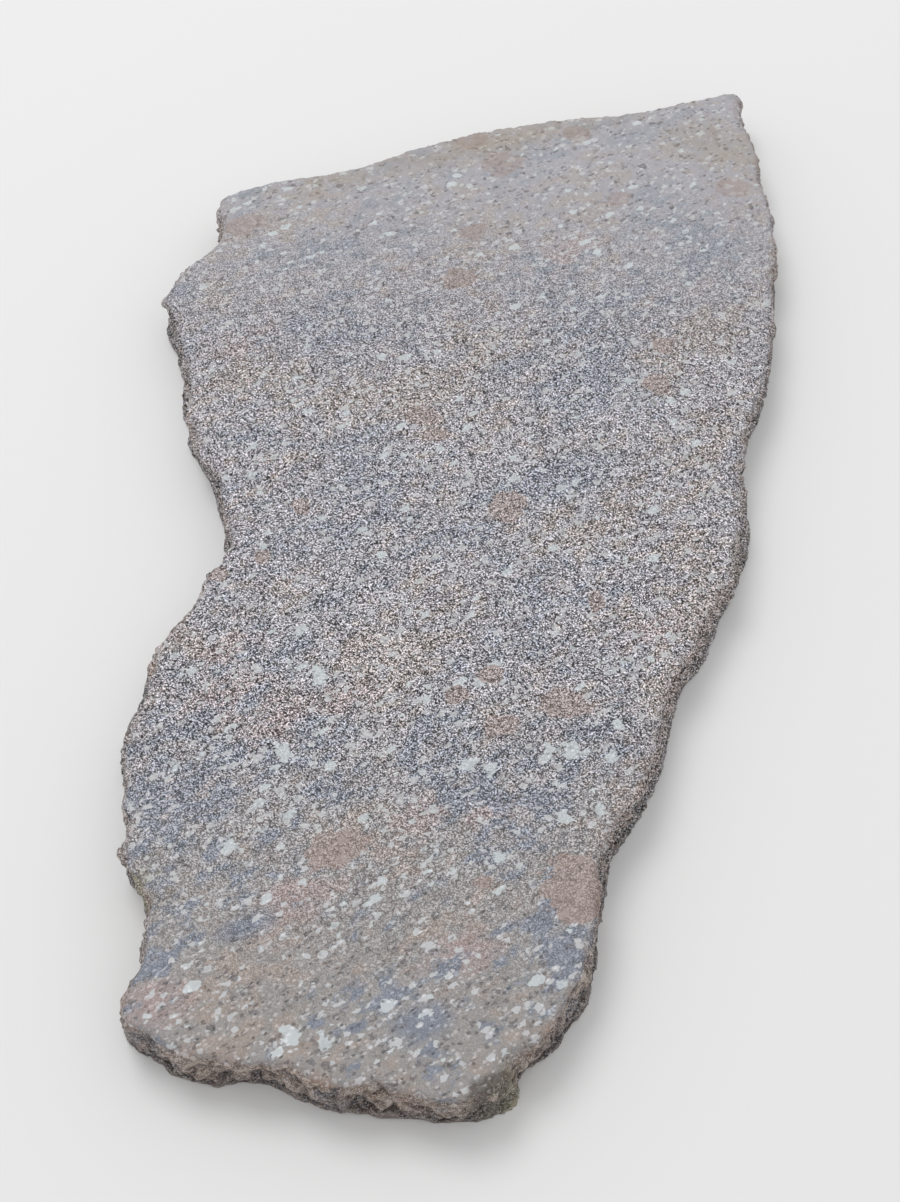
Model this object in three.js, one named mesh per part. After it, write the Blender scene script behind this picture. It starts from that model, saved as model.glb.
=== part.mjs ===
// A rough slab of porphyry, split from its bed along the grain of the rock and broken off all round.
// Units are millimetres. The slab lies flat: +Z is up, +Y runs along its length towards its wide end,
// and the origin is on the resting face, under the middle of the slab's bounding box.
import * as THREE from "three";
import { ImprovedNoise } from "three/addons/math/ImprovedNoise.js";

// Driving dimensions
const THICKNESS = 22; // resting face to the middle of the upper face
const LAYER_HEIGHT = 6; // one broken layer in the side
const SHOULDER_WIDTH = 2.5; // from the brink in to where its wear has mostly faded
const SHELF_WIDTH = 7; // from the brink in to where the upper face is unworn
const FOOT_WIDTH = 8; // from the foot of the side in to the flat resting face

// Relief: the height of the lumps, how far apart they are, and a number that tells one kind from the next
const SWELL = { height: 0.7, size: 95, seed: 0 }; // slow rise and fall of the upper face
const RIPPLE = { height: 0.3, size: 27, seed: 40 }; // the smaller one on top of it
const WEAR = { height: 0.9, size: 45, seed: 90 }; // how much lower the upper face lies at its worn brink
const LAYER_TILT = { height: 2.5, size: 40, seed: 20 }; // rise and fall of the layers along the side
const LEDGE = { height: 2.4, size: 24, seed: 130 }; // how deep each layer is broken back
const HACKLE = { height: 0.8, size: 8, seed: 0 }; // finer roughness of the broken side
const FOOT_LIFT = { height: 1.2, size: 30, seed: 70 }; // lift of the underside's broken margin

// How finely the stone is faceted
const STATIONS = 320; // points round the edge
const WALL_SHARES = [0, 0.12, 0.32, 0.52, 0.72, 0.9, 1]; // rows up the side, from foot to brink
const TOP_CELLS = { size: 12, margin: 6 }; // square cells of the upper face, and their gap to its edge
const FLOOR_CELLS = { size: 24, margin: 9 }; // those of the resting face
const INSET_STEP = 0.5; // how far a ring moves in between two rounds of smoothing

// The brink of the upper face, clockwise from above, in three numbers a point: x, y and the flare,
// which is how far the foot of the side stands out past the brink. An undercut has a negative flare.
const FAR_EDGE = [
  [-113, 158.5, 2], [-112.5, 168, 3], [-108, 172, 3], [-95, 179, 3],
  [-78, 183, 3], [-58, 189, 4], [-47, 194, 4], [-37, 200, 4],
  [-28, 205.5, 3], [-8.5, 214, 2], [12.5, 220.5, 3], [33.5, 226, 4],
  [52, 229, 3], [68.5, 230.5, 3], [83, 235, 4], [102, 241.5, 3],
  [117, 247, 3], [125, 248, 2], [127, 241, 2],
];
const RIGHT_SIDE = [
  [125.5, 229, 2], [129, 211.5, 2], [130, 199, 3], [128.5, 183, 3],
  [131, 171, 3], [132, 157, 2], [130.5, 137, 2], [126, 108, 2.5],
  [121, 74.5, 2], [117, 51.5, -1], [112, 40.5, -1], [106, 24, 0.5],
  [103.5, 13, 2.5], [100.5, 4, 6], [100.5, -3, 6], [100, -14.5, 5],
  [99.5, -23, 4], [97, -32, 2.5], [95.5, -42, -0.5], [93, -48, -1],
  [87, -57, 1], [79, -74, 1.5], [76, -81, -1], [73, -85.5, -0.5],
  [69, -91, 1], [66, -98.5, 2], [60.5, -117, 2.5], [58, -127, 1.5],
  [55, -134.5, 0.5], [51.5, -141, 0], [47.5, -147.5, 0], [43.5, -154.5, -0.5],
  [39.5, -161, 2.5], [37, -178, 1], [34.5, -190.5, 2], [32.5, -198, 2],
  [31.5, -204.5, 1], [28.5, -210, 0.5], [22, -219.5, 1], [19, -224.5, -1.5],
  [16, -228.5, -4], [12, -229.5, -2], [8, -234.5, 4], [5, -239, 1], [1, -242.5, -1],
];
const NEAR_EDGE = [
  [-4, -244.5, -2.5], [-11, -247, -5], [-17.5, -245, -3], [-25.5, -242.5, -1],
  [-31, -241, 0.5], [-35.5, -240, 0.5], [-42.5, -242, -2.5], [-48.5, -240.5, -2],
  [-53.5, -238, -1], [-59.5, -235, -0.5], [-64.5, -234.5, -3.5], [-71.5, -234.5, -5],
  [-77.5, -233.5, -2.5], [-85, -232, -1], [-92, -230.5, -1], [-98.5, -227, -0.5],
  [-103.5, -224.5, -3], [-108.5, -223.5, -3],
];
const LEFT_SIDE = [
  [-111.5, -219.5, -2], [-111, -212, 3], [-110.5, -207, 4], [-108, -203, 4],
  [-106.5, -198.5, 4], [-106.5, -194.5, 3.5], [-107.5, -190, 3], [-107, -185, 3],
  [-105.5, -181.5, 3], [-108.5, -176, 2], [-112, -171, -2], [-115, -165, -1],
  [-118.8, -158.5, 0], [-117, -155, 1], [-116, -151, 0.5], [-117.5, -147, 0.5],
  [-119.5, -143, 0], [-121, -132, 0.5], [-121.5, -122, 3], [-121, -115.5, 4.5],
  [-117.5, -102.5, 8.5], [-115, -89.5, 7], [-115.5, -77.5, 4.5], [-112.5, -72, 4],
  [-103.5, -59.5, 4], [-101, -52.5, 4], [-98.5, -42.5, 5], [-95, -37, 4.5],
  [-92.5, -32, 4], [-93, -26.5, 3], [-95.5, -20.5, 2.5], [-97.5, -12.5, 0],
  [-99, -4.5, 1], [-101, 2.5, 1], [-105, 9.5, -1.5], [-109.5, 15, -4],
  [-112, 21, -3], [-112, 29, 1], [-115, 36, 1.5], [-116.5, 44, 0.5],
  [-116, 54, 5], [-118.5, 63, 3.5], [-121.5, 72.5, 0.5], [-124, 80.5, 0],
  [-126, 89, 1], [-130, 96, 0.5], [-133, 102, -0.5], [-131.5, 106, 1],
  [-129, 112, 3], [-125, 121.5, 3], [-119.5, 128, 4], [-113.5, 135, 3],
  [-110.5, 142.5, 3], [-110.5, 150.5, 3],
];

// Flakes struck off the brink: the place on the edge, how far each reaches into the upper face,
// and the radius of its hollow scar. The first is the low ledge at the near corner.
const FLAKES = [
  { x: 8, y: -237, reach: 4.5, radius: 11 },
  { x: 30, y: -207, reach: 2.5, radius: 16 },
  { x: 57, y: -130, reach: 1.5, radius: 13 },
  { x: 71, y: -88, reach: 1, radius: 9 },
  { x: 80, y: -72, reach: 1.5, radius: 15 },
  { x: 95, y: -44, reach: 1, radius: 12 },
  { x: 99, y: -28, reach: 1.5, radius: 17 },
  { x: 127, y: 112, reach: 1, radius: 13 },
  { x: 129, y: 184, reach: 1.5, radius: 15 },
  { x: 92, y: 238, reach: 1, radius: 12 },
  { x: 20, y: 223, reach: 1, radius: 14 },
  { x: -50, y: 193, reach: 1, radius: 16 },
  { x: -110, y: 150, reach: 1, radius: 11 },
  { x: -122, y: 74, reach: 1, radius: 12 },
  { x: -110, y: 16, reach: 1.5, radius: 9 },
  { x: -96, y: -38, reach: 1, radius: 10 },
  { x: -121, y: -128, reach: 1, radius: 14 },
  { x: -113, y: -169, reach: 1, radius: 9 },
  { x: -104, y: -224, reach: 2, radius: 9 },
  { x: -88, y: -231, reach: 2.5, radius: 15 },
  { x: -58, y: -236, reach: 1.5, radius: 10 },
  { x: -34, y: -240, reach: 2, radius: 12 },
];
const FLAKE_LIFT = 0.55; // height of a scar's centre over the upper face, as a share of its radius

const { clamp } = THREE.MathUtils;
const noise = new ImprovedNoise();
const NOISE_GAIN = 1.6; // brings the noise's usual peaks to about 1

// Smooth lumps from about -height to height.
function relief({ height, size, seed }, x, y, z = 0) {
  return height * NOISE_GAIN * noise.noise(x / size + 0.3, y / size + 0.7, (z + seed) / size + 0.1);
}

// Height of the upper face before its brink is worn.
function upperHeight(x, y) {
  return THICKNESS + relief(SWELL, x, y) + relief(RIPPLE, x, y);
}

// How far wear has lowered the brink: nothing in some places and twice the usual in others.
function brinkWear(x, y) {
  return clamp(WEAR.height + relief(WEAR, x, y), 0, 2 * WEAR.height);
}

// How far the side's surface lies inside the straight line from foot to brink. Each layer is broken back
// by its own amount, so ledges run along the side and die out, and all of it fades at the foot and the brink.
function breakDepth(x, y, height) {
  const layer = Math.floor((height + relief(LAYER_TILT, x, y)) / LAYER_HEIGHT);
  const ledge = clamp((LEDGE.height + relief(LEDGE, x, y, layer * LEDGE.size * 4)) / 2, 0, LEDGE.height);
  const fade = Math.sin(Math.PI * clamp(height / THICKNESS, 0, 1));
  return fade * (ledge + relief(HACKLE, x, y, height * 2));
}

// Outward normals of a clockwise ring of points, taken over two points each way.
function outwardNormals(ring) {
  return ring.map((point, i) => {
    const ahead = ring[(i + 2) % ring.length];
    const behind = ring[(i - 2 + ring.length) % ring.length];
    return new THREE.Vector2(behind.y - ahead.y, ahead.x - behind.x).normalize();
  });
}

// A ring moved outward by its own amount at each point.
function ringOutside(ring, amounts) {
  const normals = outwardNormals(ring);
  return ring.map((point, i) => point.clone().addScaledVector(normals[i], amounts[i]));
}

// A smaller ring inside a ring, moved in by small steps and smoothed at each, so that it doesn't cross itself.
function ringInside(ring, distance) {
  const stepCount = Math.ceil(distance / INSET_STEP);
  const inward = ring.map(() => -distance / stepCount);
  let inner = ring;
  for (let step = 0; step < stepCount; step += 1) {
    const moved = ringOutside(inner, inward);
    inner = moved.map((point, i) => {
      const ahead = moved[(i + 1) % moved.length];
      const behind = moved[(i - 1 + moved.length) % moved.length];
      return point.clone().multiplyScalar(2).add(ahead).add(behind).divideScalar(4);
    });
  }
  return inner;
}

// Distance from a point to the nearest edge of a ring.
function distanceToRing(point, ring) {
  const place = new THREE.Vector3(point.x, point.y, 0);
  const nearest = new THREE.Vector3();
  const corners = ring.map((corner) => new THREE.Vector3(corner.x, corner.y, 0));
  const gaps = corners.map((start, i) => {
    const edge = new THREE.Line3(start, corners[(i + 1) % corners.length]);
    return edge.closestPointToPoint(place, true, nearest).distanceTo(place);
  });
  return Math.min(...gaps);
}

// True if a point is inside a ring: a line from it towards +X crosses the ring an odd number of times.
function isInside(point, ring) {
  const crossings = ring.filter((start, i) => {
    const end = ring[(i + 1) % ring.length];
    const share = (point.y - start.y) / (end.y - start.y);
    return start.y > point.y !== end.y > point.y && point.x < start.x + (end.x - start.x) * share;
  });
  return crossings.length % 2 === 1;
}

// The brink and its flare as evenly spaced stations on one smooth closed curve.
const outline = [...FAR_EDGE, ...RIGHT_SIDE, ...NEAR_EDGE, ...LEFT_SIDE];
const outlinePoints = outline.map((numbers) => new THREE.Vector3(...numbers));
const outlineCurve = new THREE.CatmullRomCurve3(outlinePoints, true, "centripetal");
const stations = outlineCurve.getSpacedPoints(STATIONS).slice(1); // the first station is also the last
const brink = stations.map((station) => new THREE.Vector2(station.x, station.y));
const flares = stations.map((station) => station.z);

// The scars' spheres: each centre stands outside and above the brink point nearest to the flake's place.
const brinkNormals = outwardNormals(brink);
const scars = FLAKES.map(({ x, y, reach, radius }) => {
  const gaps = brink.map((point) => point.distanceTo(new THREE.Vector2(x, y)));
  const nearest = gaps.indexOf(Math.min(...gaps));
  const halfWidth = radius * Math.sqrt(1 - FLAKE_LIFT ** 2);
  const centre = brink[nearest].clone().addScaledVector(brinkNormals[nearest], halfWidth - reach);
  return new THREE.Sphere(new THREE.Vector3(centre.x, centre.y, THICKNESS + FLAKE_LIFT * radius), radius);
});

// The vertices and triangles of the stone as they grow
const positions = [];
const triangles = [];

// Adds a vertex, pushed back onto the surface of any scar that it falls in, and returns its number.
function addVertex(point, z) {
  const vertex = new THREE.Vector3(point.x, point.y, z);
  for (const scar of scars) {
    const gap = vertex.distanceTo(scar.center);
    if (gap < scar.radius) vertex.sub(scar.center).setLength(scar.radius).add(scar.center);
  }
  positions.push(...vertex.toArray());
  return positions.length / 3 - 1;
}

// Adds a ring of vertices whose heights come from a function of the place.
function addRing(ring, heightAt) {
  return ring.map((point, i) => addVertex(point, heightAt(point, i)));
}

// Joins two rings of vertices with a band of triangles that faces out, where `lower` comes first
// on the way from the resting face up the side and in over the upper face.
function addBand(lower, upper) {
  lower.forEach((vertex, i) => {
    const next = (i + 1) % lower.length;
    if (i % 2) triangles.push(vertex, upper[next], lower[next], vertex, upper[i], upper[next]);
    else triangles.push(vertex, upper[i], lower[next], lower[next], upper[i], upper[next]);
  });
}

// For each row of square cells, the widest run of cells that keeps its distance from the ring.
function cellRuns(ring, cells) {
  const box = new THREE.Box2().setFromPoints(ring);
  const columnCount = Math.ceil((box.max.x - box.min.x) / cells.size);
  const rowCount = Math.ceil((box.max.y - box.min.y) / cells.size);
  const place = (column, row) => new THREE.Vector2(column, row).multiplyScalar(cells.size).add(box.min);
  const isDeep = (point) => isInside(point, ring) && distanceToRing(point, ring) > cells.margin;
  const deep = Array.from({ length: rowCount + 1 }, (_, row) =>
    Array.from({ length: columnCount + 1 }, (_, column) => isDeep(place(column, row))),
  );
  const runs = [];
  for (let row = 0; row < rowCount; row += 1) {
    let widest = { row, start: 0, end: 0 };
    let start = 0;
    for (let column = 0; column < columnCount; column += 1) {
      const whole = [deep[row], deep[row + 1]].every((line) => line[column] && line[column + 1]);
      if (!whole) start = column + 1;
      else if (column + 1 - start > widest.end - widest.start) widest = { row, start, end: column + 1 };
    }
    if (widest.end > widest.start) runs.push(widest);
  }
  return { runs, place };
}

// The cells' corners on the rim of the runs, in order: up the left ends and down the right ends.
function cellRim(runs) {
  const turns = [
    ...runs.flatMap(({ row, start }) => [[start, row], [start, row + 1]]),
    ...runs.toReversed().flatMap(({ row, end }) => [[end, row + 1], [end, row]]),
  ];
  const rim = [];
  turns.forEach(([column, row], i) => {
    const [nextColumn, nextRow] = turns[(i + 1) % turns.length];
    const steps = Math.max(Math.abs(nextColumn - column), Math.abs(nextRow - row));
    for (let step = 0; step < steps; step += 1) {
      rim.push([column + ((nextColumn - column) * step) / steps, row + ((nextRow - row) * step) / steps]);
    }
  });
  return rim;
}

// Fills a ring of vertices with a face: square cells in the middle and a band of triangles out to the ring.
function addFace(ring, ringVertices, cells, heightAt, facesUp) {
  const { runs, place } = cellRuns(ring, cells);
  const corners = new Map();
  const corner = (column, row) => {
    const key = `${column},${row}`;
    const point = place(column, row);
    if (!corners.has(key)) corners.set(key, { point, vertex: addVertex(point, heightAt(point)) });
    return corners.get(key);
  };
  const addTriangle = (...three) => {
    const [a, b, c] = three.map((item) => item.point);
    const turnsLeft = b.clone().sub(a).cross(c.clone().sub(a)) > 0;
    const [first, second, third] = three.map((item) => item.vertex);
    triangles.push(...(turnsLeft === facesUp ? [first, second, third] : [first, third, second]));
  };

  for (const { row, start, end } of runs) {
    for (let column = start; column < end; column += 1) {
      const around = [[0, 0], [1, 0], [1, 1], [0, 1]].map(([right, up]) => corner(column + right, row + up));
      const [a, b, c, d] = (column + row) % 2 ? around : [around[1], around[2], around[3], around[0]];
      addTriangle(a, b, c);
      addTriangle(a, c, d);
    }
  }

  const hole = cellRim(runs).map(([column, row]) => corner(column, row));
  const outer = ring.map((point, i) => ({ point, vertex: ringVertices[i] }));
  const all = [...outer, ...hole];
  const points = (items) => items.map((item) => item.point);
  const band = THREE.ShapeUtils.triangulateShape(points(outer), [points(hole)]);
  band.forEach((triangle) => addTriangle(...triangle.map((i) => all[i])));
}

// The side, one ring of vertices for each row, from the foot up to the brink.
function addWall() {
  const rows = WALL_SHARES.map((share) => {
    const heights = brink.map(({ x, y }) => share * (upperHeight(x, y) - brinkWear(x, y)));
    const outs = brink.map(({ x, y }, i) => flares[i] * (1 - share) - breakDepth(x, y, heights[i]));
    const lifts = brink.map(({ x, y }) => (share ? 0 : clamp(relief(FOOT_LIFT, x, y), 0, FOOT_LIFT.height)));
    return addRing(ringOutside(brink, outs), (point, i) => heights[i] + lifts[i]);
  });
  rows.slice(1).forEach((row, i) => addBand(rows[i], row));
  return { foot: rows[0], top: rows[rows.length - 1] };
}

// The upper face, with two rings close together inside the brink where it is worn and chipped.
function addUpperFace(brinkVertices) {
  const shoulder = ringInside(brink, SHOULDER_WIDTH);
  const shelf = ringInside(brink, SHELF_WIDTH);
  const shoulderVertices = addRing(shoulder, ({ x, y }) => upperHeight(x, y) - brinkWear(x, y) / 3);
  const shelfVertices = addRing(shelf, ({ x, y }) => upperHeight(x, y));
  addBand(brinkVertices, shoulderVertices);
  addBand(shoulderVertices, shelfVertices);
  addFace(shelf, shelfVertices, TOP_CELLS, ({ x, y }) => upperHeight(x, y), true);
}

// The underside: a broken margin that rises to the foot of the side, round the flat resting face.
function addUnderside(footVertices) {
  const rest = ringInside(ringOutside(brink, flares), FOOT_WIDTH);
  const restVertices = addRing(rest, () => 0);
  addBand(restVertices, footVertices);
  addFace(rest, restVertices, FLOOR_CELLS, () => 0, false);
}

function buildStone() {
  const wall = addWall();
  addUpperFace(wall.top);
  addUnderside(wall.foot);

  const geometry = new THREE.BufferGeometry();
  geometry.setAttribute("position", new THREE.Float32BufferAttribute(positions, 3));
  geometry.setIndex(triangles);
  geometry.computeVertexNormals();
  geometry.computeBoundingBox();
  const { min, max } = geometry.boundingBox;
  geometry.translate(-(min.x + max.x) / 2, -(min.y + max.y) / 2, -min.z);
  return geometry;
}

const greyStone = new THREE.MeshStandardMaterial({ color: 0x9b989b, roughness: 0.85, metalness: 0 });
const slab = new THREE.Mesh(buildStone(), greyStone);
slab.name = "slab";

const rock = new THREE.Group();
rock.add(slab);

export default rock;
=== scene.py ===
# %% [markdown]
# # A rough slab of porphyry
#
# The real object is one natural stone: a flat slab about half a metre long, split from its bed and broken
# off all round. Seen from a step away it is grey and speckled. Close to, it is a fine-grained grey rock
# full of pale crystals, with bluish and brownish patches drawn out along its grain.
#
# The shape comes from the CAD part, which has the right outline, thickness, ledges and chips but only
# about 8,000 flat facets. This file makes a fine mesh from it, gives that mesh the small relief of broken
# rock, and paints it with procedural materials. All sizes here are metres unless a name says otherwise.

# %% Load the frame
import math

import bpy
import numpy as np
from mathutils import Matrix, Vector, kdtree, noise


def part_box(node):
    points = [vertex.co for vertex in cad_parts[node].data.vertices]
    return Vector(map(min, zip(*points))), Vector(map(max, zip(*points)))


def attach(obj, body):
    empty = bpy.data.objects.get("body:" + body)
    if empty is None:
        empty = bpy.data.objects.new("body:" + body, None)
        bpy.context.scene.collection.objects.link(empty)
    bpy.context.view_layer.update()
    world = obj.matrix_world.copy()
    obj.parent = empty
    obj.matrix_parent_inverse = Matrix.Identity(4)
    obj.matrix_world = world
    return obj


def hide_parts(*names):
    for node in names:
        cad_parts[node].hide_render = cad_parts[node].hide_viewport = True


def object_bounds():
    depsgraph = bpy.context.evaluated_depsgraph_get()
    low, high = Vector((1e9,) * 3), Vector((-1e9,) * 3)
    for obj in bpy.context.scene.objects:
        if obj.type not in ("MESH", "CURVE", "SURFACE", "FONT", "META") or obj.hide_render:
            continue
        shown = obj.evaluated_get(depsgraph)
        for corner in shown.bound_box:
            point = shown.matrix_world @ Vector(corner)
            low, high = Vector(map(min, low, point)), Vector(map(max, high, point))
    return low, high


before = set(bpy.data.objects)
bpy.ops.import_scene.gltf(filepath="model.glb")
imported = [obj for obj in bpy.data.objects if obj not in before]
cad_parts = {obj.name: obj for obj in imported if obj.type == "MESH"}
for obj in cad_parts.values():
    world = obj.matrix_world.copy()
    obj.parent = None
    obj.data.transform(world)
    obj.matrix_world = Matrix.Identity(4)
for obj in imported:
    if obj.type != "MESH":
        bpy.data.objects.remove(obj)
cad_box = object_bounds()
scene = bpy.context.scene
MM = 0.001

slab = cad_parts["slab"]
low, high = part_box("slab")
print("CAD slab, mm:", [round(size / MM, 1) for size in high - low])

# %% [markdown]
# ## The camera
#
# The slab was seen from above its near end, at the distance of an outstretched arm, so it narrows strongly
# away from the viewer. A 50 mm lens on a 36 mm high sensor, 0.6 m away and pitched 52 degrees down, gives
# the same narrowing. The camera could be aimed with a Track To constraint, but a rotation worked out from
# the pitch is simpler and can't drift.

# %% Camera
PITCH = math.radians(52)
DISTANCE = 0.6
AIM = Vector((-11.6, -61.2, 22)) * MM  # where the middle of the image meets the upper face

camera_data = bpy.data.cameras.new("camera")
camera_data.sensor_fit = "VERTICAL"
camera_data.sensor_height = 36
camera_data.lens = 50
camera = bpy.data.objects.new("camera", camera_data)
camera.rotation_euler.x = math.pi / 2 - PITCH
look = Vector((0, math.cos(PITCH), -math.sin(PITCH)))
camera.location = AIM - DISTANCE * look
scene.collection.objects.link(camera)
scene.camera = camera
print("camera at, mm:", [round(c / MM, 1) for c in camera.location])

# %% [markdown]
# ## Floor and light
#
# The stone lies on a plain pale floor. An even white sky gives most of the light, so that colours come out
# as they are painted, and one large soft lamp from behind adds just enough direction to show the relief.
# The Standard view transform keeps the painted colours, where AgX would grey and soften them.

# %% Floor, sky and lamp
FLOOR_COLOUR = (0.84, 0.84, 0.84, 1)
FLOOR_REACH = 12
SKY = 0.74
LAMP_WATTS = 26.0
LAMP_WIDTH = 1.6
LAMP_PLACE = Vector((-0.9, 1.1, 2.6))

floor_mesh = bpy.data.meshes.new("floor")
corners = [(x * FLOOR_REACH, y * FLOOR_REACH, 0) for x, y in ((-1, -1), (1, -1), (1, 1), (-1, 1))]
floor_mesh.from_pydata(corners, [], [(0, 1, 2, 3)])
floor = bpy.data.objects.new("floor", floor_mesh)
scene.collection.objects.link(floor)
floor_material = bpy.data.materials.new("pale floor")
floor_material.use_nodes = True
floor_shader = floor_material.node_tree.nodes["Principled BSDF"]
floor_shader.inputs["Base Color"].default_value = FLOOR_COLOUR
floor_shader.inputs["Roughness"].default_value = 0.9
floor_shader.inputs["Specular IOR Level"].default_value = 0.1
floor_mesh.materials.append(floor_material)

world = bpy.data.worlds.new("sky")
world.use_nodes = True
world.node_tree.nodes["Background"].inputs["Color"].default_value = (1, 1, 1, 1)
world.node_tree.nodes["Background"].inputs["Strength"].default_value = SKY
scene.world = world

lamp_data = bpy.data.lights.new("soft lamp", "AREA")
lamp_data.shape = "DISK"
lamp_data.size = LAMP_WIDTH
lamp_data.energy = LAMP_WATTS
lamp = bpy.data.objects.new("soft lamp", lamp_data)
lamp.location = LAMP_PLACE
lamp.rotation_euler = (-LAMP_PLACE).to_track_quat("-Z", "Y").to_euler()
scene.collection.objects.link(lamp)
scene.view_settings.view_transform = "Standard"
print("lamp, metres from the stone:", round(LAMP_PLACE.length, 2))

# %% [markdown]
# ## A fine mesh for the stone
#
# The CAD solid has facets about a centimetre wide. A voxel remesh lays an even net of small quads over it,
# which is just what fine relief needs, and it keeps the outline to within half a voxel. A subdivision
# surface would be smoother, but it would round the corners off and crowd faces where the facets are small.
#
# Nobody looks closely at the flat underside, so its faces are thinned out again with a Decimate modifier
# that works only through a vertex group. That saves a third of the triangles for the sides that show.

# %% Remesh
VOXEL = 1.22 * MM
FLAT_NORMAL = -0.97  # how straight down a face looks where the underside is flat
FLOOR_BAND = 0.4 * MM
THINNING = 0.1  # share of the underside's faces that stays


def baked_modifiers(piece):
    """Replaces a piece's mesh by what its modifiers make of it, and drops the modifiers."""
    seen = piece.evaluated_get(bpy.context.evaluated_depsgraph_get())
    result = bpy.data.meshes.new_from_object(seen)
    piece.modifiers.clear()
    piece.data = result
    return result


def numbers(items, name, width=3):
    """An array of one property of a mesh's vertices, edges or faces."""
    found = np.empty(len(items) * width, np.float32)
    items.foreach_get(name, found)
    return found.reshape(-1, width).astype(float)


stone = bpy.data.objects.new("stone_slab", slab.data.copy())
scene.collection.objects.link(stone)
remesh = stone.modifiers.new("fine net", "REMESH")
remesh.mode = "VOXEL"
remesh.voxel_size = VOXEL
mesh = baked_modifiers(stone)
print("remeshed:", len(mesh.polygons), "quads")

# %% Thin out the underside
points = numbers(mesh.vertices, "co")
normals = numbers(mesh.vertices, "normal")
flat = (normals[:, 2] < FLAT_NORMAL) & (points[:, 2] < FLOOR_BAND)
group = stone.vertex_groups.new(name="underside")
group.add(np.flatnonzero(flat).tolist(), 1.0, "REPLACE")
thin = stone.modifiers.new("thin underside", "DECIMATE")
thin.vertex_group = "underside"
thin.ratio = 1 - (1 - THINNING) * flat.mean()
mesh = baked_modifiers(stone)
print("thinned:", sum(len(face.vertices) - 2 for face in mesh.polygons), "triangles")

# %% [markdown]
# ## Where the sides are
#
# The split upper face, the broken sides and the underside of the stone have different relief, so every
# point needs to know which of them it belongs to. Faces could be picked by hand, but the direction in
# which the surface looks says it all round, and a smooth step between two directions leaves no seam.

# %% How much each point belongs to the sides
points = numbers(mesh.vertices, "co")
normals = numbers(mesh.vertices, "normal")


def span(values):
    """The smallest and the largest of some lengths, in millimetres."""
    return [round(float(values.min() / MM), 2), round(float(values.max() / MM), 2)]


def smoothstep(values, start, end):
    """0 before start, 1 past end and a smooth rise between, also where end is the smaller."""
    share = np.clip((values - start) / (end - start), 0, 1)
    return share * share * (3 - 2 * share)


side = smoothstep(np.abs(normals[:, 2]), 0.93, 0.45)  # 1 where the surface stands upright
under = smoothstep(-normals[:, 2], 0.3, 0.9)  # 1 where it looks down
top = (1 - side) * (1 - under)
print("heights, mm:", span(points[:, 2]))
print("share of points on the sides:", round(float(side.mean()), 2))

# %% [markdown]
# ## A worn brink
#
# The brink, where the upper face meets the sides, has lost its sharpness to weather and feet. A Bevel would
# round it evenly like a cast edge. Moving each point towards the mean of its neighbours, many times over,
# wears the sharpest places most, as use does. How near a point is to the sides, found by blurring, picks
# the strip that wears.

# %% Means over the mesh
ends = np.empty(len(mesh.edges) * 2, np.int32)
mesh.edges.foreach_get("vertices", ends)
ends = ends.reshape(-1, 2)
neighbours = np.bincount(ends.ravel(), minlength=len(points))


def mean_of_neighbours(values):
    """The mean of each point's neighbours along the edges."""
    sums = [
        np.bincount(ends[:, 0], column[ends[:, 1]], len(values))
        + np.bincount(ends[:, 1], column[ends[:, 0]], len(values))
        for column in values.T
    ]
    return np.stack(sums, 1) / np.maximum(neighbours, 1)[:, None]


def spread_out(values, rounds):
    """Values blurred over the mesh, each round over one more neighbour."""
    for _ in range(rounds):
        values = mean_of_neighbours(values)
    return values


print("edges:", len(ends), "and neighbours of a point:", round(float(neighbours.mean()), 1))

# %% Wear the brink round
WEAR_ROUNDS = 14
SPREAD_ROUNDS = 14
WORN_ABOVE = 12 * MM  # the foot keeps its edge
near_side = spread_out(side[:, None], SPREAD_ROUNDS)[:, 0]
worn = spread_out(points, WEAR_ROUNDS)
strip = smoothstep(near_side, 0.1, 0.4) * (1 - smoothstep(near_side, 0.65, 0.9))
wear = (worn - points) * (strip * (points[:, 2] > WORN_ABOVE))[:, None]
points += wear
print("brink worn by up to, mm:", round(float(np.linalg.norm(wear, axis=1).max() / MM), 2))

# %% [markdown]
# ## Scars of flakes
#
# Smooth noise alone makes rock look like clay, because rock breaks in shallow dishes, the scars of flakes,
# and the scars meet in ridges. So seeds are scattered over the sides, and each one sinks a tilted dish. Of
# the dishes that reach a point, the deepest wins, which leaves a ridge where two of them meet. Distances
# are measured with the height stretched, so that the scars lie along the bed, as they do in rock that
# splits, and noise moves their rims, so that no scar is a plain oval. Sculpting could give the same look,
# but not by a rule that works all round.

# %% Flake scars
BED_STRETCH = 1.45  # the scars are this much wider than high
SIDE_AREA = 0.036  # square metres
BROKEN = 0.2  # a scar's middle can be at any point that belongs to the sides by more than this
DISH = 2.6  # how fast a scar gets shallower away from its middle
REACH = 5  # of each point, this many of the nearest scars are compared
SHAKE = 0.32  # how far noise moves the scars' rims, as a share of their spacing
SHAKE_SIZE = 0.45  # the size of that noise's lumps, as such a share too
BULGE = 0.4  # how far rock left between scars may stand out, as a share of their depth
WOBBLE_SEED = 3
noise.seed_set(WOBBLE_SEED)  # noise_vector takes its seed from the clock otherwise, and differs each run

# The sides and a narrow strip of the top.
chipped = np.maximum(side, smoothstep(near_side, 0.03, 0.5) * (1 - under))


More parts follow.
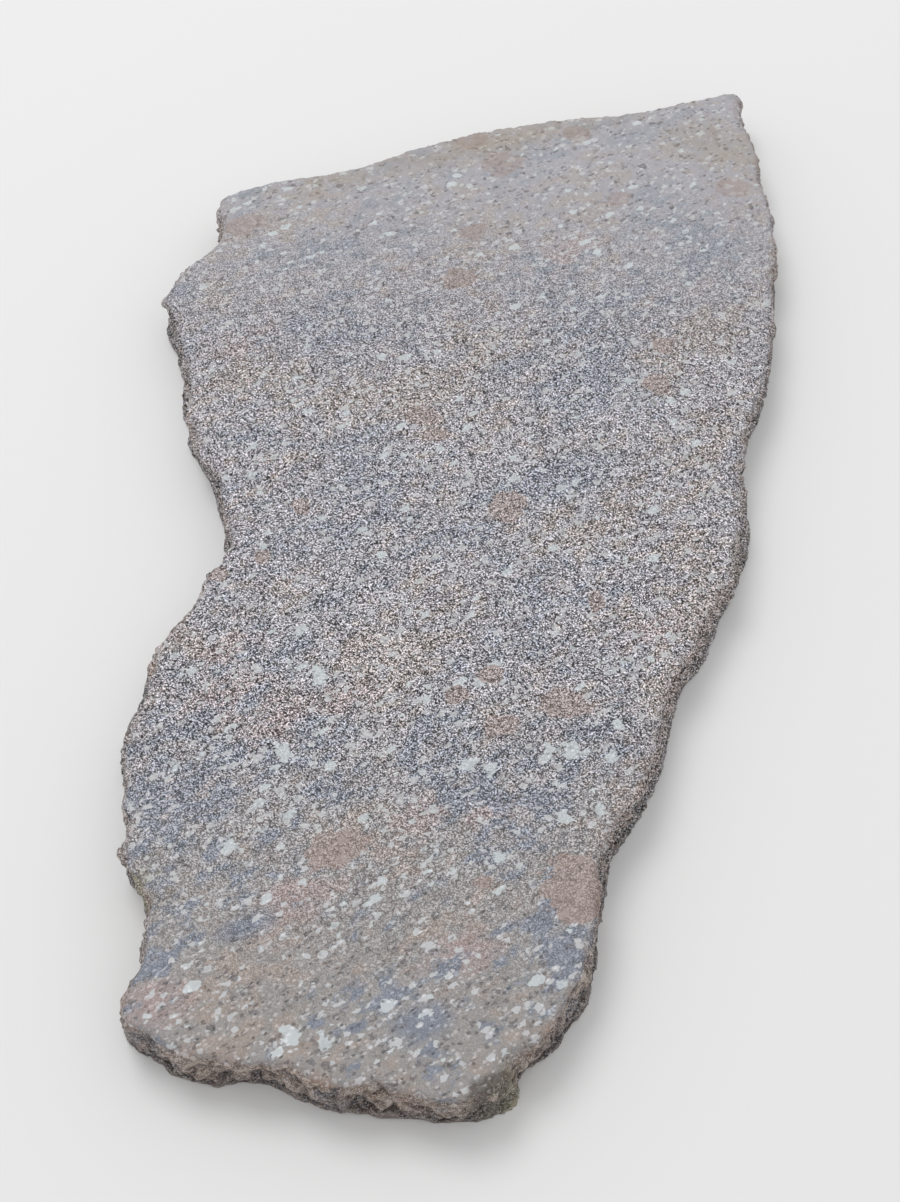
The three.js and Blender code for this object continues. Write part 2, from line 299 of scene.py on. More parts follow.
def flake_scars(spacing, depth, tilt, seed):
    """How far each point lies inside the unbroken side, for scars about `spacing` apart."""
    random = np.random.default_rng(seed)
    stretch = np.array([1, 1, BED_STRETCH])
    count = int(SIDE_AREA / spacing**2 * BED_STRETCH)
    broken = points[side > BROKEN]
    broken = broken[np.lexsort(broken.round(5).T)]  # in the same order each time
    middles = broken[random.choice(len(broken), count, replace=False)]
    tree = kdtree.KDTree(count)
    for index, middle in enumerate(middles * stretch):
        tree.insert(middle, index)
    tree.balance()
    tilts = random.normal(0, tilt, (count, 3))
    depths = random.uniform(0, depth, count)
    on_side = np.flatnonzero(chipped > 0)
    wobble = np.array([noise.noise_vector(place / (SHAKE_SIZE * spacing)) for place in points[on_side]])
    shaken = points[on_side] + SHAKE * spacing * wobble
    near = np.array([[hit[1] for hit in tree.find_n(place, REACH)] for place in shaken * stretch])
    away = shaken[:, None] - middles[near]
    slope = np.clip((away * tilts[near]).sum(2), -depth, depth)
    gap = np.linalg.norm(away * stretch, axis=2) / spacing
    inside = np.zeros(len(points))
    inside[on_side] = (depths[near] + slope - DISH * depth * gap**2).max(1)
    return np.maximum(inside, -BULGE * depth) * chipped


print("share of points that can be chipped:", round(float((chipped > 0).mean()), 2))

# %% Break the sides
BIG_SCARS = {"spacing": 11 * MM, "depth": 1.7 * MM, "tilt": 0.30, "seed": 1}
SMALL_SCARS = {"spacing": 4.4 * MM, "depth": 0.9 * MM, "tilt": 0.36, "seed": 2}
RIM_SHARE = 0.35  # how much of the breakage is left at the foot and at the brink, where edges wore off
height = points[:, 2] / MM  # the slab is about 22 high
inner_band = smoothstep(height, 1, 8) * (1 - smoothstep(height, 15, 21.5))
breakage = RIM_SHARE + (1 - RIM_SHARE) * inner_band
scars = (flake_scars(**BIG_SCARS) + flake_scars(**SMALL_SCARS)) * breakage
print("scars, mm:", span(scars))

# %% [markdown]
# ## Small relief
#
# The upper face is a split surface: nearly flat, with a fine tooth, thin steps where one layer of the rock
# ran out, and small pits where grains came away. The sides are rougher, with lumps and sharp small ridges.
# A Displace modifier could add each of these, but as arrays they can be added up and moved in one go. The
# points move along blurred normals, because along their own ones a rough surface folds over itself.

# %% Lumps
TOOTH = {"size": 2.2 * MM, "height": 0.34 * MM}
GENTLE = {"size": 11 * MM, "height": 0.22 * MM}
HACKLE = {"size": 2.1 * MM, "height": 0.5 * MM}  # the stronger tooth of the sides


def lumps(size, height, shift=0):
    """Rough noise with lumps `size` apart. A shift picks another part of the endless noise."""
    places = points / size + shift
    return np.array([noise.fractal(place, 0.7, 2.0, 2) for place in places]) * height


tooth = lumps(**TOOTH)
gentle = lumps(**GENTLE, shift=3.1)
hackle = lumps(**HACKLE, shift=5.7)
print("tooth, swells and hackle, mm:", span(tooth), span(gentle), span(hackle))

# %% Sharp ridges
RIDGES = {"size": 5.5 * MM, "height": 1.1 * MM}
RIDGE_SHIFT = Vector((3.7, 9.1, 5.3))


def ridges(size, height):
    """Sharp ridges with rounded hollows between them, which lie up to twice `height` lower."""
    folds = np.array([abs(noise.noise(place / size + RIDGE_SHIFT)) for place in map(Vector, points)])
    return -folds * height * 2


sharp = ridges(**RIDGES)
print("ridges, mm:", span(sharp))

# %% Layers that ran out
STEPS = {"size": 60 * MM, "height": 0.45 * MM, "count": 5}


def layer_steps(size, height, count):
    """Thin steps along the contours of slow noise, as where one layer of the rock ran out."""
    level = lumps(size, count, shift=7.3) + lumps(size / 9, count / 14, shift=2.9)
    whole = np.floor(level)
    return (whole + smoothstep(level - whole, 0.46, 0.54)) * height - level * height


layers = layer_steps(**STEPS)
print("layers, mm:", span(layers))

# %% Lost grains
LOST_GRAINS = {"size": 3.0 * MM, "depth": 0.6 * MM, "share": 0.45}
PIT_RADIUS = 0.42  # as a share of the grains' spacing
PIT_STEEPNESS = 2.2


def lost_grains(size, depth, share):
    """The depth of the pits that grains left, for a share of the places where one could be."""
    pit = np.zeros(len(points))
    for index, place in enumerate(points / size):
        gaps, centres = noise.voronoi(place)
        if noise.cell(centres[0] * 9.7) < share * 2 - 1:
            pit[index] = max(0, 1 - gaps[0] / PIT_RADIUS)
    return np.minimum(pit * PIT_STEEPNESS, 1) * depth


pits = lost_grains(**LOST_GRAINS)
print("pits, mm:", span(pits), "at a share of", round(float((pits > 0).mean()), 2), "of the points")

# %% Move the points
OUTWARD_ROUNDS = 4
relief = top * (tooth + gentle + layers)
relief += side * breakage * (hackle + sharp + RIDGES["height"] / 2) - scars
relief -= (1 - under) * pits
outward = spread_out(normals, OUTWARD_ROUNDS)
outward /= np.linalg.norm(outward, axis=1)[:, None]
moved = points + outward * relief[:, None]
box_low, box_high = (np.array(corner) for corner in cad_box)
moved = np.clip(moved, box_low, box_high)
mesh.vertices.foreach_set("co", moved.astype(np.float32).ravel())
mesh.update()
print("relief, mm:", span(relief))

# %% [markdown]
# ## What the paint needs to know about the shape
#
# The material has to tell the sides from the top and hollows from ridges, because dirt and painted shade sit
# in hollows and ridges are worn pale by rubbing and carry a painted highlight. Blender's Pointiness does this
# in the shader, but only for one width and only in Cycles, so it is measured here, from how far each point
# lies below the mean of its neighbours.
#
# The places of the larger pieces in the rock are kept the same way. Each is an ellipse placed from
# what can be seen, and each point gets a number that is 1 in the middle of an ellipse, 0 on its rim and
# less outside. The shader turns that into a ragged edge with noise.

# %% Hollows and ridges
HOLLOW_ROUNDS = 4
HOLLOW_DEPTH = 0.5 * MM
smoothed = spread_out(moved, HOLLOW_ROUNDS)
hollow = ((smoothed - moved) * numbers(mesh.vertices, "normal")).sum(1) / HOLLOW_DEPTH


def keep_on_points(name, values):
    """Stores one number a point, for the shader to read by name."""
    layer = mesh.attributes.new(name, "FLOAT", "POINT")
    layer.data.foreach_set("value", values.astype(np.float32))


keep_on_points("near side", near_side)
keep_on_points("hollow", np.clip(hollow, -1, 1))
print("hollows, 5% and 95%:", np.percentile(hollow, [5, 95]).round(2))

# %% Pieces of older rock and large crystals
# Each is x, y, length, width in millimetres and the turn of its length from +X in degrees.
BROWN_PIECES = [
    (28, -177, 22, 25, 0), (27.5, -106, 13, 19, 80), (6, -114.5, 14, 9, 10), (10, -15.5, 16, 17, 30),
    (-48, -163, 24, 16, 20), (2.5, -94, 11, 8, 20), (-9.5, -102, 10, 8, 20), (41, -61, 8, 9, 0),
    (-67.5, -15.5, 8, 9, 0), (-80.5, -40, 7, 7, 0), (-96.5, -48, 8, 9, 60), (-22, 31.5, 15, 11, 20),
    (-16.5, 21.5, 10, 8, 20), (-101, 147, 18, 14, 30), (-7.5, 112, 15, 13, 20), (-1.5, 143, 13, 12, 30),
    (-1.5, 207, 16, 14, 20), (12, 190, 21, 18, 30), (47, 211, 14, 14, 20), (63, 165, 13, 10, 20),
    (114, 172, 18, 14, 30), (75, 71, 9, 10, 30), (71, 49, 11, 12, 30), (-1, -174.5, 7, 5, 20),
]
PINK_CLOUDS = [
    (-69, -112, 34, 22, 30), (-7, -200, 26, 16, 20), (-100, -216, 24, 18, 20), (-60, -180, 30, 20, 30),
    (-20, -150, 24, 16, 30), (60, -75, 26, 14, 35), (-90, -85, 24, 14, 35), (40, 130, 40, 20, 35),
    (-99, 72, 32, 16, 35), (-103, -143, 24, 14, 35), (3, -148, 24, 14, 30),
    (-86, -104, 40, 26, 30), (-48, -104, 30, 18, 30),
]
WHITE_CRYSTALS = [
    (-57, -93, 5.5, 8, 20), (-67.5, -125.5, 5, 8, 20), (-83, -162, 6.5, 5, 20), (29.5, -125, 6.5, 7.5, 30),
    (21.5, -124.5, 4, 5, 0), (42.5, -128, 4.2, 5, 0), (45.5, -114.5, 4.2, 5, 0), (-5.5, -130.5, 6, 4.5, 20),
    (2, -132.5, 4, 5, 0), (-30.5, -217, 5.5, 5, 30), (-59.5, -226, 5.5, 8.5, 20), (-48.5, -228, 4.2, 6.5, 20),
    (25.5, -150.5, 4.6, 5.3, 20), (37.5, -147.5, 4, 4.6, 20), (4, -165.5, 4, 4.5, 20),
]
BLUE_CLOUDS = [
    (28, -5, 66, 16, 15), (36, -117, 18, 9, 20), (22.5, -198, 14, 11, 20), (-64.5, -79, 16, 9, 30),
    (-96.5, -112.5, 12, 9, 30), (68.5, 207, 26, 15, 20), (-55, -60, 26, 8, 30), (-20, -222, 20, 12, 20),
    (-75, -190, 22, 9, 30), (15, 60, 40, 10, 30), (-45, 20, 36, 9, 30), (60, 100, 36, 10, 30),
    (38, 6, 46, 14, 12),
]
OCHRE_STAINS = [
    (108, 205, 40, 60, 60), (112, 20, 10, 60, 80), (-105, -180, 10, 26, 80), (100, -35, 12, 34, 80),
    (6, 205, 250, 30, 21),
]
# A painted shadow: the dark band under the brink of the low chip at the near corner.
SHADED_CHIP = [(0.6, -240.5, 18, 8, 33)]
MOSS_STAINS = [(5, -239.5, 20, 13, 40), (-112, -172, 9, 26, 80)]


def nearness(ellipses):
    """At each point, 1 in the middle of the nearest ellipse, 0 on its rim and down to -1 outside."""
    found = np.full(len(moved), -1.0)
    for x, y, length, width, turn in ellipses:
        away = moved[:, :2] / MM - (x, y)
        cosine, sine = math.cos(math.radians(turn)), math.sin(math.radians(turn))
        along = (away @ (cosine, sine)) / (length / 2)
        across = (away @ (-sine, cosine)) / (width / 2)
        found = np.maximum(found, 1 - np.hypot(along, across))
    return found


for name, ellipses in {
    "brown pieces": BROWN_PIECES,
    "pink clouds": PINK_CLOUDS,
    "white crystals": WHITE_CRYSTALS,
    "blue clouds": BLUE_CLOUDS,
    "ochre stains": OCHRE_STAINS,
    "painted chip shadow": SHADED_CHIP,
    "moss stains": MOSS_STAINS,
}.items():
    keep_on_points(name, nearness(ellipses))
    print(name, len(ellipses))

# %% [markdown]
# ## A flat map of the stone
#
# Other programs can't run a procedural material, so the stone gets a UV map, through which its colours can
# be baked into an image. Smart UV Project would cut the rough sides into thousands of scraps. A slab has six
# plain views instead: each face goes to the view that its surroundings look towards, and the six views lie
# side by side on one square sheet. All are at full scale but the underside, which matters least.

# %% The view that each face goes to
LEVEL = 0.6  # a face that looks up or down by more than this isn't on the sides
corner_point = np.empty(len(mesh.loops), np.int32)
mesh.loops.foreach_get("vertex_index", corner_point)
corner_count = np.empty(len(mesh.polygons), np.int32)
mesh.polygons.foreach_get("loop_total", corner_count)
corner_face = np.repeat(np.arange(len(corner_count)), corner_count)
facing = np.stack([np.bincount(corner_face, outward[corner_point, axis]) for axis in range(3)], 1)
facing /= np.linalg.norm(facing, axis=1)[:, None]
x_share, y_share, z_share = facing.T
face_view = np.select(
    [z_share > LEVEL, z_share < -LEVEL, np.abs(x_share) > np.abs(y_share)],
    [0, 1, np.where(x_share < 0, 2, 3)],
    np.where(y_share < 0, 4, 5),
)
print("faces in each view:", np.bincount(face_view, minlength=6))

# %% Six views on one sheet
SHEET = 550  # width and height of the sheet, in millimetres of stone
UNDERSIDE_SCALE = 0.6
# For each view: the directions that run to the right and up the sheet, the scale, and its lower left corner.
VIEWS = {
    "top": ((1, 0, 0), (0, 1, 0), 1, (2, 2)),
    "underside": ((-1, 0, 0), (0, 1, 0), UNDERSIDE_SCALE, (274, 2)),
    "left": ((0, 0, 1), (0, 1, 0), 1, (440, 2)),
    "right": ((0, 0, -1), (0, 1, 0), 1, (468, 2)),
    "near": ((0, 0, -1), (1, 0, 0), 1, (496, 2)),
    "far": ((0, 0, 1), (1, 0, 0), 1, (496, 274)),
}
sheet = np.zeros((len(corner_point), 2))
for index, (name, (right, up, scale, corner)) in enumerate(VIEWS.items()):
    seen = face_view[corner_face] == index
    flat_places = moved[corner_point[seen]] @ np.array([right, up]).T / MM
    sheet[seen] = (flat_places - flat_places.min(0)) * scale + corner
    print(name, "view, mm:", np.ptp(flat_places, axis=0).round(1))
baking_map = mesh.uv_layers.new(name="OFBake", do_init=False)
baking_map.uv.foreach_set("vector", (sheet / SHEET).astype(np.float32).ravel())
print("sheet used, mm:", sheet.min(0).round(1), "to", sheet.max(0).round(1))

# %% [markdown]
# ## Shader maths as plain expressions
#
# A material is a tree of nodes. Written one node at a time it hides its own meaning, so this small class
# wraps an output socket and lets values be added, multiplied and compared as numbers are. Each sum or
# product adds one Math node. Everything else, such as noise or a colour mix, comes from `node`.

# %% Sockets that can be added and multiplied
class Socket:
    """One output of the material that is being made. Expressions on values add Math nodes."""

    tree = None

    def __init__(self, output):
        self.output = output

    @classmethod
    def node(cls, kind, settings=None, inputs=None, output=0):
        """Adds a node, with its settings first and then its sockets, and wraps one of its outputs."""
        made = cls.tree.nodes.new(kind)
        for name, value in (settings or {}).items():
            setattr(made, name, value)
        for name, value in (inputs or {}).items():
            if isinstance(value, Socket):
                cls.tree.links.new(value.output, made.inputs[name])
            else:
                made.inputs[name].default_value = value
        return cls(made.outputs[output])

    def math(self, operation, *others):
        """A Math node of this value and others."""
        values = dict(enumerate((self, *others)))
        return Socket.node("ShaderNodeMath", {"operation": operation}, values)

    def __add__(self, other):
        return self.math("ADD", other)

    def __mul__(self, other):
        return self.math("MULTIPLY", other)

    def __sub__(self, other):
        return self.math("SUBTRACT", other)

    def __rsub__(self, other):
        return Socket.node("ShaderNodeMath", {"operation": "SUBTRACT"}, {0: other, 1: self})

    __radd__ = __add__
    __rmul__ = __mul__


# %% Colours
def linear(channel):
    """One channel of a screen colour, from 0 to 255, as the share of light that it stands for."""
    return ((channel / 255 + 0.055) / 1.055) ** 2.4


def paint(red, green, blue):
    """A colour as it looks on a screen, as the numbers that a shader needs. None may be near black."""
    return linear(red), linear(green), linear(blue), 1


def mix(share, first, second):
    """A colour between two colours."""
    return Socket.node("ShaderNodeMix", {"data_type": "RGBA"}, {0: share, 6: first, 7: second}, 2)


print("middle grey as light:", round(linear(128), 3))


# %% Slopes from one value to another
def rise(value, start, end):
    """0 below start, 1 above end and a smooth rise between."""
    inputs = {"Value": value, "From Min": start, "From Max": end}
    return Socket.node("ShaderNodeMapRange", {"interpolation_type": "SMOOTHSTEP"}, inputs)


def between(value, start, end, low, high):
    """A value that goes evenly from low to high as another goes from start to end."""
    inputs = {"Value": value, "From Min": start, "From Max": end, "To Min": low, "To Max": high}
    return Socket.node("ShaderNodeMapRange", {}, inputs)


# %% Patterns and numbers kept on the points
def kept(name):
    """A number that was stored on the points."""
    return Socket.node("ShaderNodeAttribute", {"attribute_name": name}, output="Fac")


def fog(place, size, detail=2.0, roughness=0.5, output="Fac"):
    """Soft noise with lumps `size` millimetres apart."""
    inputs = {"Vector": place, "Scale": 1 / size, "Detail": detail, "Roughness": roughness}
    return Socket.node("ShaderNodeTexNoise", {}, inputs, output)


def cells(place, size):
    """How far the nearest of points `size` millimetres apart is, and two random numbers of that point."""
    gap = Socket.node("ShaderNodeTexVoronoi", {}, {"Vector": place, "Scale": 1 / size})
    colour = Socket(gap.output.node.outputs["Color"])
    first = Socket.node("ShaderNodeSeparateColor", {}, {"Color": colour})
    return gap, first, Socket(first.output.node.outputs[1])


# %% Sums and products of vectors and colours
def scaled(vector, amount):
    """A vector or a colour times a number."""
    return Socket.node("ShaderNodeVectorMath", {"operation": "SCALE"}, {0: vector, "Scale": amount})


def added(first, second):
    """The sum of two vectors or colours."""
    return Socket.node("ShaderNodeVectorMath", {"operation": "ADD"}, {0: first, 1: second})


# %% [markdown]
# ## The stone itself
#
# Porphyry is a fine groundmass with crystals in it. From a step away the eye sees four things: cloudy
# patches of blue grey, tan and pink, pale and dark crystals of two to three millimetres, scattered brown
# pieces of older rock, and a speckle of grains less than half a millimetre wide. Each is laid over the one
# before. All of them use three-dimensional textures, so the pattern runs through the rock and over the
# brink, where an image would smear. Most share one set of coordinates, turned and stretched along the
# grain of the rock.

# %% Coordinates along the grain
material = bpy.data.materials.new("porphyry")
material.use_nodes = True
Socket.tree = material.node_tree
shader = material.node_tree.nodes["Principled BSDF"]


def count_nodes(layer):
    """Prints how large the material has grown once a layer is in it."""
    print(layer + ":", len(material.node_tree.nodes), "nodes so far")


GRAIN_TURN = math.radians(33)  # the grain of the rock, from +X towards +Y
GRAIN_STRETCH = 1.5
raw = Socket.node("ShaderNodeTexCoord", output="Object")
place = scaled(raw, 1 / MM)
turned = {"Rotation": (0, 0, GRAIN_TURN), "Scale": (GRAIN_STRETCH, 1, 0.8)}
along_grain = Socket.node("ShaderNodeMapping", {"vector_type": "TEXTURE"}, {"Vector": place, **turned})
shake = fog(along_grain, 1.6, detail=1, output="Color")
x_y_z = Socket.node("ShaderNodeSeparateXYZ", {}, {0: place})
y_mm = Socket(x_y_z.output.node.outputs["Y"])
z_mm = Socket(x_y_z.output.node.outputs["Z"])
count_nodes("coordinates")

# %% [markdown]
# ## Cloudy patches
#
# The groundmass changes from grey to blue grey and tan over a few centimetres and is a little warmer at the
# near end. The far end is painted paler, as a painted sheen for the sky's reflection on that grazing surface.
# Soft noise at two sizes gives clouds that nobody placed, and the few that the eye notices are placed by the
# ellipses kept above. A painted image could hold them all, but it would show no colour inside a fresh break.

# %% Cloudy patches
GREY = paint(159, 155, 161)
WARM_GREY = paint(155, 151, 149)  # of the near end
# Painted sheen: a pale grey for the sky's reflection on the grazing far end.
FAR_SKY_SHEEN = paint(185, 185, 189)
BLUE_GREY = paint(128, 135, 149)
TAN = paint(164, 152, 145)
PINK = paint(170, 151, 149)
clouds = fog(along_grain, 7, detail=3, roughness=0.6)
wide_clouds = fog(along_grain, 36, detail=1)
cloud = clouds + (wide_clouds - 0.5) * 0.8
pinkness = rise(kept("pink clouds") + (clouds - 0.5) * 2, -0.3, 0.9) * 0.8
blueness = rise(cloud, 0.47, 0.32) + rise(kept("blue clouds") + (clouds - 0.5) * 2, -0.3, 0.8) * 0.95
grey = mix(rise(y_mm, -220, -40), WARM_GREY, GREY)
patches = mix(rise(cloud, 0.52, 0.68), grey, TAN)
patches = mix(pinkness, patches, PINK)
patches = mix(blueness.math("MINIMUM", 0.9), patches, BLUE_GREY)
# Painted sheen: the far end is mixed half way to a pale grey, for the sky's reflection there.
patches = mix(rise(y_mm, 20, 210) * 0.5, patches, FAR_SKY_SHEEN)
count_nodes("cloudy patches")

# %% [markdown]
# ## Crystals and older pieces
#
# The crystals are feldspar, pale and stubby, with dark ones between them and thin dark flecks drawn out
# along the grain. A Voronoi texture scatters points, and a disc round each point is a crystal where that
# point's random number says so. Noise bends the coordinates first, because an unbent disc looks printed.
# The brown pieces are fragments of older rock that the melt took up. Their edges are shaken by the same
# noise as the clouds, and they go over the crystals.

# %% Pale crystals
PALE = paint(195, 196, 198)
WHITE = paint(202, 209, 212)
CRYSTAL_WARP = 1.5  # millimetres, as the next two
PALE_SPACING = 2.4
LARGE_SPACING = 4.6
bend = fog(along_grain, 2.2, detail=2, output="Color")
crystal_place = added(along_grain, scaled(added(bend, (-0.5, -0.5, -0.5)), 2 * CRYSTAL_WARP))
pale_gap, pale_random, pale_other = cells(crystal_place, PALE_SPACING)
pale = rise(pale_random * 0.56 - pale_gap, -0.04, 0.08) * rise(pale_other, 0.45, 0.46)
big_gap, big_random, big_other = cells(added(crystal_place, (7, 3, 1)), LARGE_SPACING)
big = rise(big_random * 0.42 - big_gap, -0.02, 0.04) * rise(big_other, 0.72, 0.73)
placed = rise(kept("white crystals") + (fog(along_grain, 2.0, detail=2) - 0.5) * 2.6, -0.1, 0.15)
large = big.math("MAXIMUM", placed)
stone_colour = mix(pale * 0.95, patches, PALE)
stone_colour = mix(large * 0.85, stone_colour, WHITE)
count_nodes("pale crystals")

# %% Dark spots
DARK = paint(104, 99, 102)
SPOT_SPACING = 2.2
spot_gap, spot_random, spot_other = cells(added(crystal_place, (13, 5, 9)), SPOT_SPACING)
dark_spot = rise(spot_random * 0.5 - spot_gap, -0.05, 0.1) * rise(spot_other, 0.5, 0.51)
stone_colour = mix(dark_spot * (1 - large) * 0.65, stone_colour, DARK)
count_nodes("dark spots")

# %% Dark flecks along the grain
FLECK = paint(84, 80, 84)
FLECK_STRETCH = 4.5
FLECK_SPACING = 1.3  # across the grain
thin_grain = {"Rotation": (0, 0, GRAIN_TURN), "Scale": (FLECK_STRETCH, 1, 1)}
fleck_place = Socket.node("ShaderNodeMapping", {"vector_type": "TEXTURE"}, {"Vector": place, **thin_grain})
fleck_gap, fleck_random, _ = cells(added(fleck_place, scaled(shake, 1.2)), FLECK_SPACING)
fleck = rise(0.34 - fleck_gap, 0, 0.12) * rise(fleck_random, 0.8, 0.82) * (1 - large)
stone_colour = mix(fleck * 0.5, stone_colour, FLECK)
count_nodes("dark flecks")

# %% Brown pieces of older rock
BROWN = paint(162, 145, 139)
pieces_edge = (clouds - 0.5) * 1.1 + (fog(along_grain, 1.6, detail=1) - 0.5) * 0.5
brown = rise(kept("brown pieces") + pieces_edge, 0.0, 0.12)
brown_share = 0.92 - rise(y_mm, 60, 180) * 0.42  # the far pieces are paler
stone_colour = mix(brown * brown_share, stone_colour, BROWN)
count_nodes("brown pieces")

# %% [markdown]
# ## Weathered sides with painted shade
#
# The broken sides have been in the ground. They are brown, and their colour also holds painted shade. They
# are darkest in the hollows, with dirt and painted shade, and at the foot, where the stone stood in the soil
# and a painted shadow rim lies under it, and paler towards the brink. Moss and rust stain them here and
# there, and one low chip at the near corner carries a painted shadow. The numbers kept on the points say how
# near the sides are, and noise keeps the stains from following the shape too neatly. Most stains multiply the
# colour under them, as thin dirt does, so that the crystals still show through. A plain mix would cover them.

# %% Stains and painted shade on the sides
def stained_and_shaded(share, colour, stain):
    """A colour under a see-through layer, of stain and here also of painted shade, which darkens it and lets
    its pattern show.
    """
    settings = {"data_type": "RGBA", "blend_type": "MULTIPLY"}
    return Socket.node("ShaderNodeMix", settings, {0: share, 6: colour, 7: stain}, 2)


# The darkest side colour, at the foot: brown dirt with painted shade in it.
DARK_DIRT_AND_SHADE = paint(102, 82, 75)
PALE_STAIN = paint(250, 236, 222)
BRINK_STAIN = paint(212, 190, 182)
SPOT_STAIN = paint(96, 82, 76)
stain_noise = fog(place, 7, detail=4, roughness=0.65)
spots = fog(added(place, (40, 10, 20)), 4.5, detail=4, roughness=0.7)
near_end = rise(y_mm, -150, -215)
# How much of the brown side colour a point takes. That colour is stain and painted shade together.
side_stain_and_shade_share = rise(kept("near side") + (stain_noise - 0.5) * 1.1 + near_end * 0.16, 0.56, 0.86)
# The lowest few millimetres take all of it: dirt and a painted shadow rim at the foot.
side_stain_and_shade_share = side_stain_and_shade_share.math("MAXIMUM", rise(z_mm + (stain_noise - 0.5) * 5, 4, 1))
# Darker towards the foot, partly dirt and partly painted shade.
dark_foot_dirt_and_shade = rise(z_mm + (stain_noise - 0.5) * 26 + (spots - 0.5) * 16, 15, 2)
side_stain_and_shade_colour = mix(dark_foot_dirt_and_shade, PALE_STAIN, DARK_DIRT_AND_SHADE)
margin = rise(kept("near side") + (stain_noise - 0.5) * 0.8, 0.0, 0.55)
weathered_and_shaded = stained_and_shaded(margin * 0.4, stone_colour, BRINK_STAIN)
# The brown side colour goes over the sides: stain and painted shade.
weathered_and_shaded = stained_and_shaded(side_stain_and_shade_share, weathered_and_shaded, side_stain_and_shade_colour)
weathered_and_shaded = stained_and_shaded(side_stain_and_shade_share * rise(spots, 0.50, 0.38) * 0.45, weathered_and_shaded, SPOT_STAIN)
count_nodes("stained sides")

# %% Dirt and painted shade in hollows, worn ridges with a painted highlight, rust, moss and a painted chip shadow
# Colours of dirt with painted shade in the hollows, and of worn ridges with a painted highlight.
HOLLOW_DIRT_AND_SHADE = paint(48, 40, 36)
RUBBED_AND_HIGHLIT = paint(172, 160, 152)
OCHRE = paint(152, 134, 104)
MOSS = paint(166, 162, 134)
# The colour of the painted shadow on that chip.
CHIP_SHADOW = paint(74, 64, 58)
# Hollows are darkened nearly to black, with dirt and painted shade.
hollow_dirt_and_shade = rise(kept("hollow") + (stain_noise - 0.5) * 0.8, 0.0, 1.0) * (0.25 + side_stain_and_shade_share * 0.35)
weathered_and_shaded = mix(hollow_dirt_and_shade, weathered_and_shaded, HOLLOW_DIRT_AND_SHADE)
# Ridges on the sides are made paler, by wear from rubbing and by a painted highlight.
rubbed_and_highlit = rise(kept("hollow") + (spots - 0.5) * 1.2, -0.05, -0.8) * side_stain_and_shade_share * 0.4
weathered_and_shaded = mix(rubbed_and_highlit, weathered_and_shaded, RUBBED_AND_HIGHLIT)
ochre = rise(kept("ochre stains") + (stain_noise - 0.5) * 2.2, -0.2, 1.0) * 0.3
weathered_and_shaded = mix(ochre, weathered_and_shaded, OCHRE)
moss = rise(kept("moss stains") + (stain_noise - 0.5) * 2.0, -0.1, 0.8) * (0.3 + side_stain_and_shade_share * 0.3)
weathered_and_shaded = mix(moss, weathered_and_shaded, MOSS)
# Painted shadow on the low chip at the near corner.
chip_shadow = rise(kept("painted chip shadow") + (stain_noise - 0.5) * 1.6, -0.1, 0.5)
weathered_and_shaded = mix(chip_shadow * 0.75, weathered_and_shaded, CHIP_SHADOW)
count_nodes("dirt, painted shade, highlights and moss")

# %% [markdown]
# ## The speckle
#
# Over everything lies the salt and pepper of single grains. It is clearest on the middle of the slab and
# on the sides, and soft at both ends, which is how the stone was seen. Each grain is one cell of a very
# fine Voronoi texture: dark ones multiply the colour, and light ones add to it, so the speckle can't turn
# the patches grey. Larger dots are scattered between. Noise could do it too, but its grains have no edge.

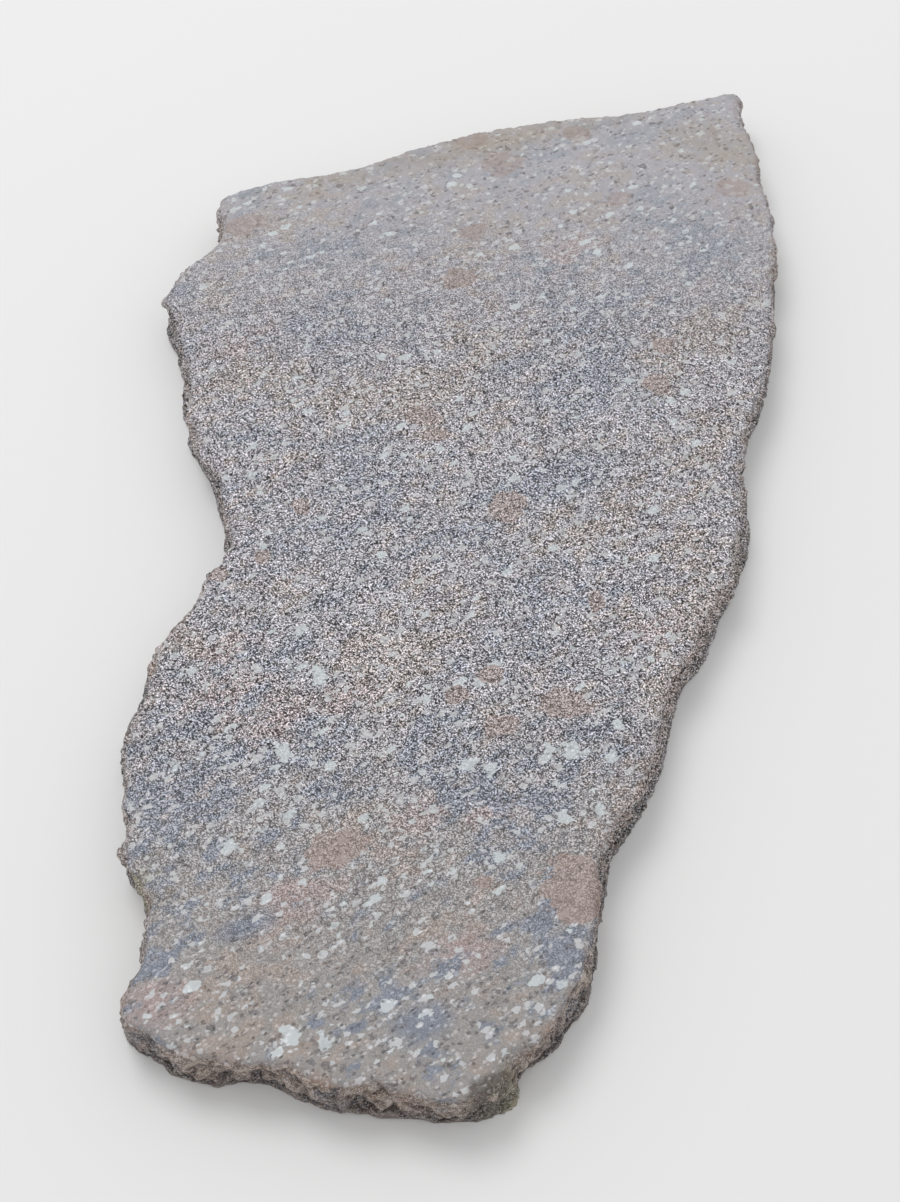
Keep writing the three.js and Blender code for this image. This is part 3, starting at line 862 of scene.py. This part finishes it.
# %% Speckle of fine grains
FINE_GRAIN = 0.35  # millimetres, as the next one
DOT_GRAIN = 1.35
HALF_LENGTH = 240  # of the slab, in millimetres, a little short of its tips
COOL = (0.98, 0.98, 1.04)  # the tint of the light grains
_, fine_random, _ = cells(place, FINE_GRAIN)
dot_gap, dot_random, _ = cells(added(along_grain, (3, 11, 5)), DOT_GRAIN)
in_middle = rise(y_mm, -HALF_LENGTH, -75) * (1 - rise(y_mm, 30, 195))
on_wall = rise(kept("near side"), 0.35, 0.7)
fine_contrast = between(y_mm, -HALF_LENGTH, HALF_LENGTH, 0.09, 0.0) + in_middle
fine_contrast = fine_contrast + on_wall * between(y_mm, 60, 200, 0.25, 0.6)
spread = fine_contrast * (1 - pale.math("MAXIMUM", large) * 0.78) * (1 - brown * 0.25)
light_grain = rise(fine_random, 0.6, 0.88) * spread * (0.6 - on_wall * 0.1)
dark_grain = (rise(fine_random, 0.6, 0.28) * spread * 1.08).math("MINIMUM", 0.94)
dot_shape = rise(0.46 - dot_gap, 0, 0.2) * (1 - brown * 0.8) * (1 - in_middle * 0.4)
light_dot = dot_shape * rise(dot_random, 0.60, 0.64) * (1 - on_wall * 0.5)
light_dot = light_dot * between(y_mm, -HALF_LENGTH, HALF_LENGTH, 0.16, 0.08)
dark_dot = dot_shape * rise(dot_random, 0.16, 0.12) * between(y_mm, -HALF_LENGTH, HALF_LENGTH, 0.5, 0.15)
speckled = scaled(weathered_and_shaded, (1 - dark_grain) * (1 - dark_dot))
speckled = added(speckled, scaled(COOL, light_grain + light_dot))
count_nodes("speckle")

# %% [markdown]
# ## Gloss and fine bumps
#
# Broken stone is matt, and only the feldspar's flat faces catch a little light. The bumps stand for relief
# finer than the mesh can hold. Everything larger is in the mesh itself, because a bump has no outline.

# %% Gloss and fine bumps
ROUGH = 0.84
CRYSTAL_GLOSS = 0.22
gloss = pale.math("MAXIMUM", large)
bump_height = fog(along_grain, 0.9, detail=2)
bump = Socket.node("ShaderNodeBump", {}, {"Strength": 0.5, "Distance": 0.25 * MM, "Height": bump_height})
for name, value in {
    "Base Color": speckled,
    "Roughness": ROUGH - gloss * CRYSTAL_GLOSS,
    "Normal": bump,
}.items():
    material.node_tree.links.new(value.output, shader.inputs[name])
mesh.materials.clear()
mesh.materials.append(material)
mesh.shade_smooth()
count_nodes("gloss and bumps")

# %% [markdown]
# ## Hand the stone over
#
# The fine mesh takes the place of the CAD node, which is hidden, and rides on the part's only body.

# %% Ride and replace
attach(stone, "root")
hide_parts("slab")
